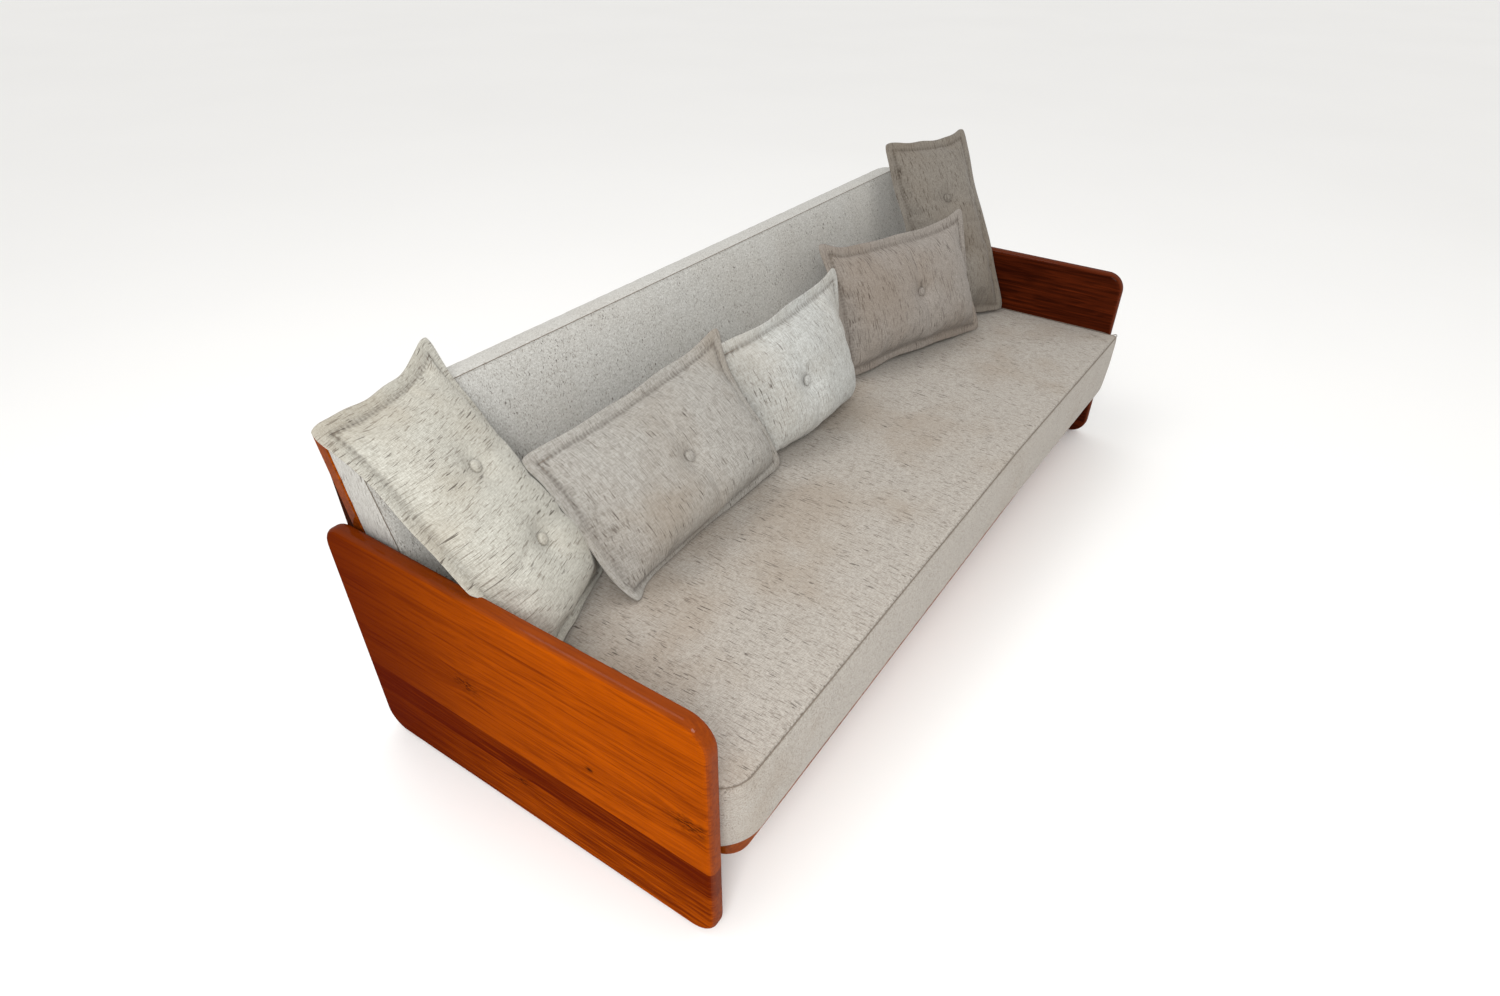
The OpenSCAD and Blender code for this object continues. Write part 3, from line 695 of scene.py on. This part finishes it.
    def finish(self, body, cloth_mat, thread_mat, nodes, fill):
        """Subdivides and shades the cloth, moves it into place, and adds topstitches and buttons."""
        obj = self.obj
        lines = {side: self.seam_path(side) for side in (FRONT, BACK)}
        subdivide(obj)
        co = coords(obj)
        rings = [co[np.argmin(np.hypot(co[:, 0], co[:, 2] - bz) + (co[:, 1] * side < 0))]
                 for bz in self.buttons for side in (FRONT, BACK)]
        shadow_radius = 0.0122
        rings = [p + np.array([shadow_radius * math.cos(a), 0, shadow_radius * math.sin(a)])
                 for p in rings for a in np.linspace(0, 6.28, 24)]
        # Painted shade along both topstitch lines and painted shadow round each button.
        shade_seam(obj, np.array(lines[FRONT] + lines[BACK]), 0.0012, 0.0062)
        shade_ring(obj, rings)
        obj.data.transform(self.place)
        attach(obj, body)
        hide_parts(nodes[0], nodes[1], nodes[2])
        for side, word in ((FRONT, "front"), (BACK, "back")):
            sewn = tube(f"{self.name}_topstitch_{word}",
                        [p + Vector((0, side * TOPSTITCH_RADIUS, 0)) for p in lines[side]],
                        TOPSTITCH_RADIUS, thread_mat, closed=True)
            self.attach(sewn, self.place)
            for n, bz in enumerate(self.buttons):
                d = np.hypot(co[:, 0], co[:, 2] - bz)
                pick = np.where((d < 0.006) & (co[:, 1] * side > 0.01))[0]
                spot = co[pick].mean(0) if len(pick) else np.array([0, side * self.thick / 2, bz])
                b = covered_button(f"{self.name}_button_{word}_{n + 1}", BUTTON_RADIUS, cloth_mat,
                                   self.seed + n)
                keep_weave(b, coords(b) + spot)
                # Painted shade on the button's rolled rim, strongest at its edge.
                rim = np.hypot(coords(b)[:, 0], coords(b)[:, 2]) / BUTTON_RADIUS
                rim_shade = 0.55 * np.clip((rim - 0.86) / 0.12, 0, 1)
                shade = b.data.attributes.new(SEAM_SHADE, "FLOAT", "POINT")
                shade.data.foreach_set("value", rim_shade.astype(np.float32))
                turn = Matrix.Identity(4) if side == FRONT else Matrix.Rotation(math.pi, 4, "Z")
                lift = np.array([0, side * 0.0006, 0])
                self.attach(b, self.place @ Matrix.Translation(spot + lift) @ turn)
                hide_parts(nodes[3])

    def attach(self, child, place):
        """Makes a small piece part of this cushion."""
        child.data.transform(place)
        child.parent = self.obj
        child.matrix_parent_inverse = Matrix.Identity(4)


# ---- boxed cushions: the seat and the backrest --------------------------------------------------

SEAM_Z = SEAT_HIGH.z - 0.009        # the seat's seam
SEAT_CROWN = 0.008                  # how far the top rises above it
BOARD_FOOT_Y = 0.3445               # where the back cushion's foot meets the back board


def boxed_grid(counts):
    """A closed box of quads. Returns (grid places, faces)."""
    n = counts
    index, places, faces = {}, [], []

    def at(i, j, k):
        if (i, j, k) not in index:
            index[i, j, k] = len(places)
            places.append((i, j, k))
        return index[i, j, k]

    for axis in range(3):
        p, q = (axis + 1) % 3, (axis + 2) % 3
        for end in (0, n[axis]):
            for a in range(n[p]):
                for b in range(n[q]):
                    quad = []
                    for da, db in ((0, 0), (1, 0), (1, 1), (0, 1)):
                        ijk = [0, 0, 0]
                        ijk[axis], ijk[p], ijk[q] = end, a + da, b + db
                        quad.append(at(*ijk))
                    faces.append(quad if end else quad[::-1])
    return places, faces


def round_plan(x, y, half_x, low_y, high_y, r_front, r_rear):
    """Pulls the corners of a rectangle in to arcs, keeping an even grid."""
    in_front = y < (low_y + high_y) / 2
    r = r_front if in_front else r_rear
    cx = half_x - r
    cy = low_y + r if in_front else high_y - r
    u = (abs(x) - cx) / r
    v = (cy - y) / r if in_front else (y - cy) / r
    if u <= 0 or v <= 0:
        return x, y
    u2, v2 = u * math.sqrt(1 - v * v / 2), v * math.sqrt(1 - u * u / 2)
    return math.copysign(cx + u2 * r, x), (cy - v2 * r if in_front else cy + v2 * r)


def mattress():
    """The long seat cushion: flat top panel, seam, plain border with eased edges.

    It meets the backrest's foot, except beside the backrest's arms. It lies a little askew: towards
    the right its front leads, and past the front of the right end panel it swells out sideways.
    """
    low, high = SEAT_LOW, SEAT_HIGH
    nx, ny, nz = 168, 56, 14
    places, faces = boxed_grid((nx, ny, nz))
    half_x = high.x
    rear_lap, arm_relief, askew = 0.0035, 0.0060, 0.013
    free_y = -0.425         # in front of this the right end panel no longer holds the cushion
    verts, pins, seam = [], [], []
    for n, (i, j, k) in enumerate(places):
        x = half_x * (2 * i / nx - 1)
        rear_y = high.y + rear_lap - arm_relief * min(max((abs(x) - 0.90) / 0.04, 0), 1)
        y = low.y + (rear_y - low.y) * j / ny
        t = k / nz
        z = low.z + (SEAM_Z - low.z) * t
        corner = (0.058 if x < 0 else 0.048) + 0.032 * (1 - t) ** 2
        px, py = round_plan(x, y, half_x, low.y, rear_y, corner, 0.03)
        lead = min(max((px - 0.2) / 0.8, 0), 1) * max(0, 1 - 2 * (py - low.y) / (high.y - low.y))
        py -= askew * lead
        if px > 0.9:
            clear = min(max((free_y - py) / 0.030, 0), 1)
            swell = 0.052 + 0.010 * math.sin(math.pi * t)
            px += swell * clear ** 2 * (3 - 2 * clear) * min((px - 0.9) / 0.09, 1)
        if 0 < k < nz:
            ease = 0.006 * (1 - math.sqrt(max(0, 1 - max(0, 1 - t / 0.14) ** 2)))
            px, py = px * (1 - ease / half_x), py + (ease if j == 0 else -ease if j == ny else 0)
        if k == 0:
            px, py = px * 0.995, low.y + 0.005 + (py - low.y) * (1 - 0.01 / (high.y - low.y))
        verts.append((px, py, z))
        rim = i in (0, nx) or j in (0, ny)
        if k == nz and rim:
            seam.append(n)
        if k == 0 or (k == nz and rim):
            pins.append(n)
    obj = make_object("seat_cushion", verts, faces)
    return obj, pins, seam, (nx, ny, nz), places


def crown(co):
    """Height of the seat's top: a low crown and a few slow hollows from use."""
    u = co[:, 0] / SEAT_HIGH.x
    v = 2 * (co[:, 1] - SEAT_LOW.y) / (SEAT_HIGH.y - SEAT_LOW.y) - 1
    dome = (1 - np.abs(u) ** 8) * (1 - np.abs(v) ** 4)
    flat = co * (1, 1, 0)
    hollows = smooth_noise(flat, 3.1, 4.0) * 0.0028 + smooth_noise(flat, 9.0, 9.0) * 0.0012
    return SEAM_Z + dome * (SEAT_CROWN + hollows)


def backrest():
    """The back cushion: a wedge with a flat front, a narrow top border and square ends."""
    low, high = BACK_LOW, BACK_HIGH
    nx, nz, nt = 160, 34, 8
    places, faces = boxed_grid((nx, nt, nz))
    half_x = high.x
    board_top = Vector((0, TOP_REAR.y, TOP_REAR.z))
    board_foot = Vector((0, BOARD_FOOT_Y, low.z + 0.002))
    verts, pins, seam = [], [], []
    for n, (i, j, k) in enumerate(places):
        x = half_x * (2 * i / nx - 1)
        t, v = j / nt, k / nz
        front = FACE_FOOT.lerp(FACE_TOP, v)
        rear = board_foot.lerp(board_top, v)
        p = front.lerp(rear, t)
        if k == nz:
            p.z += 0.004 * math.sin(math.pi * t)
        verts.append((x, p.y, p.z))
        edges = (i in (0, nx)) + (j in (0, nt)) + (k in (0, nz))
        if edges >= 2 or j == nt or k == 0:
            pins.append(n)
        if j == 0 and (k == nz or i in (0, nx)):
            seam.append(n)
    obj = make_object("back_cushion", verts, faces)
    return obj, pins, seam, (nx, nt, nz), places


# ---- build --------------------------------------------------------------------------------------

TWEED_SEAT = tweed("tweed_seat", Y, (0.83, 0.79, 0.76), 0.4, 3.0)
TWEED_BACK = tweed("tweed_back", Z, (1.04, 1.06, 1.08), 0.1, 7.0, painted_seam_shade=0.3)
TWEED_LEFT = tweed("tweed_left_pillow", Z, (0.70, 0.69, 0.68), 0.5, 11.0)
TWEED_MIDDLE = tweed("tweed_middle_pillow", Z, (0.93, 0.97, 1.0), 0.3, 17.0)
# The right pillow's low tint is partly its own darker tone and partly painted shade of the light falling
# off towards the right end.
TWEED_RIGHT = tweed("tweed_right_pillow", Z, (0.58, 0.54, 0.52), 0.4, 19.0)
TWEED_END_L = tweed("tweed_left_end", X, (0.96, 0.97, 0.93), 0.4, 23.0)
# The right end cushion's low tint is partly its own darker tone and partly painted shade of the light
# falling off towards the right end.
TWEED_END_R = tweed("tweed_right_end", Z, (0.45, 0.42, 0.39), 0.4, 29.0)
THREAD = thread("sewing_thread")

LEFT_PILLOW = Cushion("left_pillow", (0.568, 0.345), 0.146, (-0.506, 0.0676, 0.5135), -35.5, -3, -0.9,
                      (0.0,), 4.1, ears=((-1, 1, -0.012, 0, 0.002), (1, 1, 0.032, 0, 0.010),
                                         (-1, -1, 0.016, -0.014, 0.002)),
                      loose=((-1, -1),), sag=0.46, under=0.012, waist=(0.022, 0.025))
RIGHT_PILLOW = Cushion("right_pillow", (0.567, 0.343), 0.142, (0.532, 0.0523, 0.5368), -23, 1.6, -15.2,
                       (0.0,), 7.3, ears=((-1, 1, -0.008, 0.004, 0.026), (1, 1, 0.004, 0, 0.024),
                                          (1, -1, 0.004, -0.004, 0)),
                       under=0.002, waist=(0.03, 0.06))
CUSHIONS = [
    (Cushion("left_end_cushion", (0.327, 0.542), 0.136, (-0.903, 0.151, 0.5905), -34, 4.3, 25,
             (-0.086, 0.078), 1.3, ears=((1, 1, 0.024, 0.004, 0.020), (-1, 1, -0.014, 0, 0.004)),
             sag=0.3, under=0.008), TWEED_END_L),
    (Cushion("right_end_cushion", (0.301, 0.562), 0.120, (0.9125, 0.1125, 0.6067), -33.1, -2.1, -31.8,
             (-0.082, 0.082), 2.9, ears=((1, 1, 0.006, 0.006, 0.020),), behind=RIGHT_PILLOW,
             under=0.006), TWEED_END_R),
    (LEFT_PILLOW, TWEED_LEFT),
    (Cushion("middle_pillow", (0.568, 0.346), 0.146, (-0.096, 0.048, 0.533), -15, 0.4, 1.8,
             (0.0,), 5.7, ears=((1, 1, 0.008, 0, 0.010),), bend=(-0.05, 0.030, -1, 0.38),
             behind=LEFT_PILLOW, sag=0.36, under=0.005, waist=(0.03, 0.085)), TWEED_MIDDLE),
    (RIGHT_PILLOW, TWEED_RIGHT),
]


def build_soft():
    """Makes all the upholstery: shapes, one cloth run for all of it, then seams and buttons."""
    seat, seat_pins, seat_seam, seat_n, seat_places = mattress()
    back, back_pins, back_seam, back_n, back_places = backrest()
    seat.data.materials.append(TWEED_SEAT)
    back.data.materials.append(TWEED_BACK)
    for c, mat in CUSHIONS:
        c.material = mat
        c.build()
    jobs, cap = [], {}
    for c, _ in CUSHIONS:
        start_cloth(c.obj, c.pins(), pressure=5.0, slack=c.slack)
        jobs.append(c.obj)
        cap[c.obj.name] = 0.06
    start_cloth(back, back_pins, pressure=1.2, slack=0.004, bending=1.0)
    start_cloth(seat, seat_pins, pressure=1.2, slack=0.003, bending=1.0)
    cap[back.name], cap[seat.name] = 0.010, 0.006
    run_cloth(jobs + [back, seat], cap)
    finish_seat(seat, seat_seam, seat_n, seat_places)
    finish_back(back, back_seam, back_n, back_places)
    for c, mat in CUSHIONS:
        solids = [(SEAT_SOLID, 0.001), (BACK_SOLID, 0.004)]
        if c.name == "left_end_cushion":
            solids.append((LEFT_SOLID, 0.002))
        if c.name == "right_end_cushion":
            solids.append((RIGHT_SOLID, 0.002))
        c.settle(solids)
        nodes = [f"{c.name}_{part}" for part in ("front", "back", "filling", "buttons")]
        c.finish(c.name, mat, THREAD, nodes, 0.7)


def ordered_ring(seam, co, centre):
    """The seam's vertices in order round the plan."""
    pts = co[seam]
    ang = np.arctan2((pts[:, 1] - centre[1]) * 3.0, pts[:, 0] - centre[0])
    return [Vector(p) for p in pts[np.argsort(ang)]]


def finish_seat(obj, seam, counts, places):
    """Crowns the top, draws the seam in, and sews it."""
    co = coords(obj)
    low, high = SEAT_LOW, SEAT_HIGH
    top = np.array([p[2] == counts[2] for p in places])
    co[top, 2] = crown(co)[top]
    ring = np.zeros(len(co), bool)
    ring[seam] = True
    centre = np.array([0, (low.y + high.y) / 2])
    inward = np.array([np.sign(centre[0] - co[:, 0]) * (np.abs(co[:, 0]) > high.x - 0.06),
                       np.sign(centre[1] - co[:, 1])]).T
    pull_in, pull_down = 0.0012, 0.0008
    co[ring, :2] += inward[ring] * pull_in
    co[ring, 2] -= pull_down
    set_coords(obj, co)
    line = ordered_ring(seam, co, centre)
    subdivide(obj)
    # Painted shade along the seam.
    shade_seam(obj, np.array(line), 0.0, 0.0045)
    keep_weave(obj, coords(obj))
    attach(obj, "seat")
    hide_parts("mattress_cover", "mattress_foam")
    sewn = tube("seat_cushion_seam", line, 0.0011, THREAD, closed=True)
    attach(sewn, "seat")


def finish_back(obj, seam, counts, places):
    """Sews the seam up the left end, along the top and down the right end."""
    co = coords(obj)
    left = sorted((n for n in seam if places[n][0] == 0), key=lambda n: places[n][2])
    top = sorted((n for n in seam if places[n][2] == counts[2]), key=lambda n: places[n][0])
    right = sorted((n for n in seam if places[n][0] == counts[0]), key=lambda n: -places[n][2])
    path = [Vector(co[n]) for n in left[:-1] + top + right[1:]]
    subdivide(obj)
    # Painted shade along the seam.
    shade_seam(obj, np.array(path), 0.0, 0.0045)
    keep_weave(obj, coords(obj))
    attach(obj, "backrest")
    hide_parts("back_cover", "back_foam")
    sewn = tube("back_cushion_seam", path, 0.0007, THREAD)
    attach(sewn, "backrest")


def build_timber():
    """Gives every CAD piece of timber, steel and plastic its look."""
    end = 9.0       # an upper edge beyond every board
    planks = ((0.1325, 0.42), (0.199, 0.14), (0.272, 0.74), (0.345, 0.66), (0.409, 0.72),
              (0.476, 0.66), (end, 0.74))
    knots = ((0.116, 0.316, 0.022), (-0.384, 0.3075, 0.026), (-0.176, 0.291, 0.007),
             (0.02, 0.115, 0.012))
    # The left panel darkens towards its rear: painted shade of the light falling from the front left.
    left = teak("teak_left_panel", Y, Z, planks, srgb(82, 21, 1), srgb(164, 73, 3), knots,
                shade_along_run=(-0.2, 0.52, 0.88))
    # The right panel gets darker copies of the teak tones: painted shade on its inner face, which the
    # lamps hardly reach.
    shaded_planks = ((0.15, 0.30), (0.27, 0.42), (0.36, 0.24), (0.45, 0.36), (end, 0.30))
    right = teak("teak_right_panel", Y, Z, shaded_planks, srgb(44, 13, 5), srgb(98, 37, 14),
                 ((-0.1, 0.2, 0.02),), seed=5.0)
    board = teak("teak_back_board", X, Z, ((0.45, 0.6), (0.58, 0.5), (end, 0.62)), srgb(80, 24, 3),
                 srgb(172, 82, 12), ((0.4, 0.5, 0.02), (-0.6, 0.42, 0.016)), seed=9.0)
    seat = teak("teak_seat_board", X, Y, ((-0.2, 0.6), (0.0, 0.5), (end, 0.6)), srgb(84, 30, 8),
                srgb(170, 88, 26), seed=13.0)
    # The cheeks' dark tones are painted shade: the wedge they fill at the backrest's ends lies in shadow.
    cheek = teak("teak_cheek", Z, Y, ((end, 0.25),), srgb(36, 13, 6), srgb(92, 40, 16), seed=17.0)
    rail = teak("teak_rail", X, Z, ((end, 0.4),), srgb(56, 18, 5), srgb(130, 58, 16), seed=21.0)
    wood_x, wood_y = beech("beech_lengthwise", X), beech("beech_crosswise", Y)
    steel, plastic = brushed_steel("steel"), nylon("nylon")
    looks = {"end_panel_left": left, "end_panel_right": right, "back_board": board, "seat_board": seat,
             "back_cheek_left": cheek, "back_cheek_right": cheek, "front_stretcher": rail,
             "rear_stretcher": rail, "runner_strips": plastic, "floor_glides": plastic}
    crosswise = ("runner_left", "runner_right", "seat_bearer_left", "seat_bearer_right",
                 "seat_cross_bearers", "seat_stops")
    slots = {n["node"]: n["material_slot"] for n in frame["record"]["subparts"]}
    for name, obj in frame["nodes"].items():
        kind = slots.get(name)
        look = looks.get(name)
        if look is None and kind == "beech":
            look = wood_y if name in crosswise else wood_x
        if look is None and kind == "steel":
            look = steel
        if look is None:
            continue
        for s in obj.material_slots:
            s.material = look
        if not obj.material_slots:
            obj.data.materials.append(look)


def build_studio():
    """A wide pale floor, a bright plain world and three soft lamps."""
    far = 60
    floor = make_object("studio_floor", [(-far, -far, 0), (far, -far, 0), (far, far, 0), (-far, far, 0)],
                        [(0, 1, 2, 3)])
    mat, tree, bsdf = new_material("studio_floor", 0.9)
    co = node(tree, "ShaderNodeTexCoord").outputs["Object"]
    haze = noise_at(tree, scaled(tree, co, (0.7, 0.7, 0.7)), 2, 0.5)
    tree.links.new(mix(tree, haze, srgb(246, 246, 245), srgb(250, 250, 249)), bsdf.inputs["Base Color"])
    floor.data.materials.append(mat)
    world = bpy.data.worlds.new("studio")
    world.use_nodes = True
    sky = world.node_tree.nodes["Background"]
    sky.inputs["Color"].default_value = (1.0, 0.99, 0.975, 1)
    sky.inputs["Strength"].default_value = 0.88
    scene.world = world
    for name, at, to, size, power in (
            ("window", (-2.7, -1.5, 2.5), (0, 0, 0.4), 1.3, 70),
            ("fill", (2.8, -2.4, 2.0), (0, 0, 0.3), 1.6, 2),
            ("top", (-0.6, 0.9, 3.2), (0, 0, 0.4), 1.4, 18)):
        data = bpy.data.lights.new(name, "AREA")
        data.shape, data.size, data.energy = "SQUARE", size, power
        lamp = bpy.data.objects.new(name, data)
        lamp.location = at
        lamp.rotation_euler = (Vector(to) - Vector(at)).to_track_quat("-Z", "Y").to_euler()
        scene.collection.objects.link(lamp)


def build_camera():
    """A wide lens close to the left front corner, above the end panel, looking down the seat."""
    data = bpy.data.cameras.new("camera")
    data.sensor_width, data.lens = 36, 20.55
    data.shift_x, data.shift_y = -0.0102, 0.0245
    cam = bpy.data.objects.new("camera", data)
    yaw, pitch, roll = math.radians(57.05), math.radians(-37.37), math.radians(0.99)
    fwd = Vector((math.sin(yaw) * math.cos(pitch), math.cos(yaw) * math.cos(pitch), math.sin(pitch)))
    right = Vector((math.cos(yaw), -math.sin(yaw), 0))
    up = right.cross(fwd)
    x = right * math.cos(roll) + up * math.sin(roll)
    y = up * math.cos(roll) - right * math.sin(roll)
    pose = Matrix((x, y, -fwd)).transposed().to_4x4()
    pose.translation = (-1.6359, -0.8923, 1.4564)
    cam.matrix_world = pose
    scene.collection.objects.link(cam)
    scene.camera = cam
    scene.view_settings.view_transform = "Standard"


build_soft()
build_timber()
build_studio()
build_camera()
